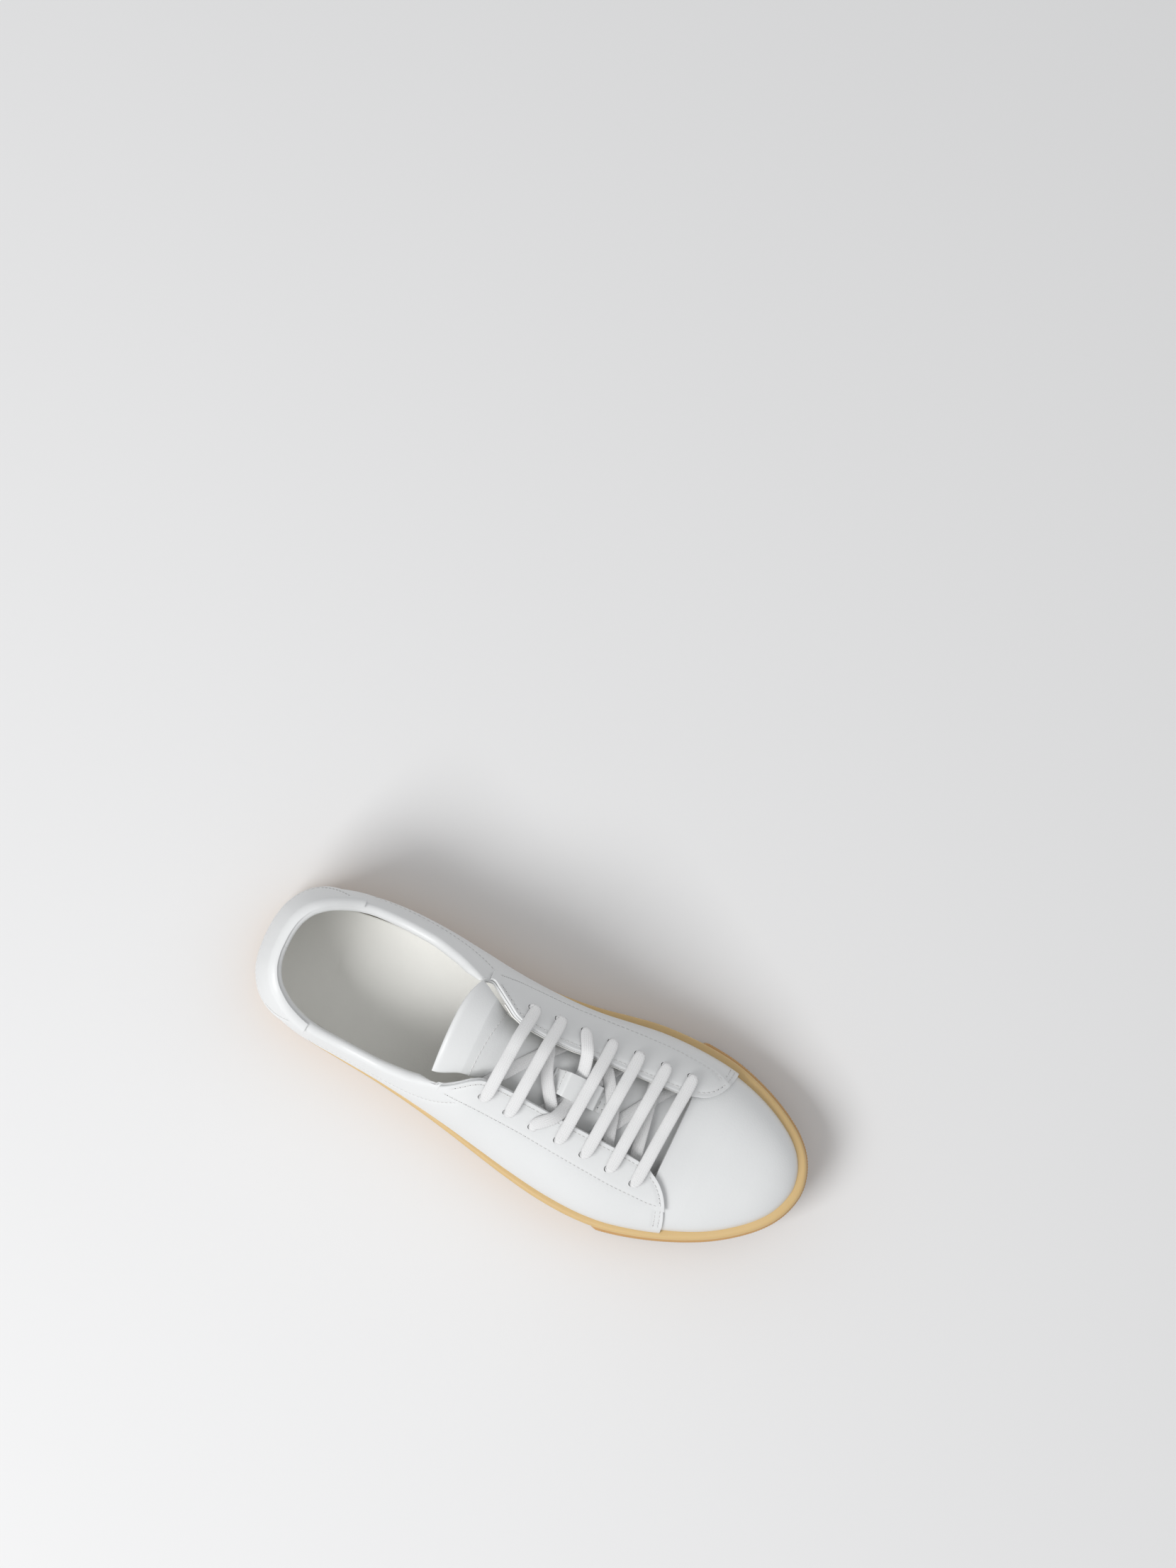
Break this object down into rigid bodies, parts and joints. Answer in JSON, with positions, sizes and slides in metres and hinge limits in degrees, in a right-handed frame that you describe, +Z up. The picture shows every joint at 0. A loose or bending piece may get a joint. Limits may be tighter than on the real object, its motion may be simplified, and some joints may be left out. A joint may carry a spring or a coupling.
{
  "type": "court shoe",
  "caption": "Low lace-up court shoe for the right foot, with a stitched gum rubber cup sole, smooth leather upper, padded tongue and flat lace",
  "frame": {"origin": "centre of the shoe's box on the ground, under the arch of the foot", "axes": "+X from heel to toe, +Y to the inner (medial) side, +Z up"},
  "size_m": [0.3, 0.1088, 0.1063],
  "materials": {
    "white_leather": "smooth, fine grain, soft sheen",
    "lining_leather": "matte, off-white",
    "gum_rubber": "satin, translucent amber brown",
    "stitch_thread": "waxed twisted thread",
    "foam": "open-cell foam, matte",
    "insole_board": "pressed fibre board, matte",
    "stiffener": "impregnated felt, matte",
    "eyestay_tape": "woven tape, matte",
    "lace_cotton": "flat woven cotton, matte",
    "aglet_plastic": "smooth"
  },
  "bodies": {
    "shoe": {"cupsole": "gum_rubber", "sole_stitch": "stitch_thread", "midsole_filler": "foam", "insole_board": "insole_board", "footbed_foam": "foam", "sock_liner": "lining_leather", "vamp": "white_leather", "vamp_lining": "lining_leather", "toe_puff": "stiffener", "quarter_lateral": "white_leather", "quarter_medial": "white_leather", "heel_tab": "white_leather", "collar_foam": "foam", "heel_counter": "stiffener", "heel_lining": "lining_leather", "quarter_lining_lateral": "lining_leather", "quarter_lining_medial": "lining_leather", "eyestay_lateral": "white_leather", "eyestay_medial": "white_leather", "eyestay_tape_lateral": "eyestay_tape", "eyestay_tape_medial": "eyestay_tape", "tongue_cover": "white_leather", "tongue_foam": "foam", "tongue_lining": "lining_leather", "lace_keeper": "white_leather", "lace": "lace_cotton", "aglet_a": "aglet_plastic", "aglet_b": "aglet_plastic"},
    "tongue_top": {"tongue_top_cover": "white_leather", "tongue_top_foam": "foam", "tongue_top_lining": "lining_leather"}
  },
  "joints": [
    {"name": "tongue_fold", "type": "hinge", "parent": "shoe", "child": "tongue_top", "pos_m": [-0.03, 0.009, 0.1002], "axis": [0, 1, 0], "range_deg": [-3, 35]}
  ]
}
